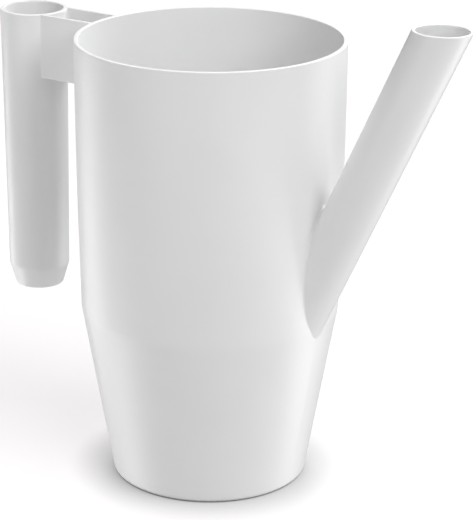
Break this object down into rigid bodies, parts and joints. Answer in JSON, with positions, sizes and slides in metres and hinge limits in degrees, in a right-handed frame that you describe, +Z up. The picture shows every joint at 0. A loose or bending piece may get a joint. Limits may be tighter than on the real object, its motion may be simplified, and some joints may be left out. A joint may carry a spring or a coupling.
{
  "type": "watering can",
  "caption": "Open-topped indoor watering can: a tall round vessel tapering to its base, a long straight inclined spout, and a hollow upright tube grip held off the rim by thin webs.",
  "frame": {"origin": "on the vessel's axis, in the plane that the can stands on", "axes": "+Z up along the vessel's axis; +X towards the spout, so the grip is on -X; the can is mirror symmetric about the plane Y = 0"},
  "size_m": [0.2621, 0.13, 0.241],
  "materials": {
    "moulding": "white polypropylene, fine satin moulded surface"
  },
  "bodies": {
    "root": {"vessel_wall": "moulding", "floor_pan": "moulding", "spout_tube": "moulding", "grip_tube": "moulding", "grip_end_cup": "moulding", "bridge_front_web": "moulding", "bridge_rear_web": "moulding"}
  },
  "joints": []
}
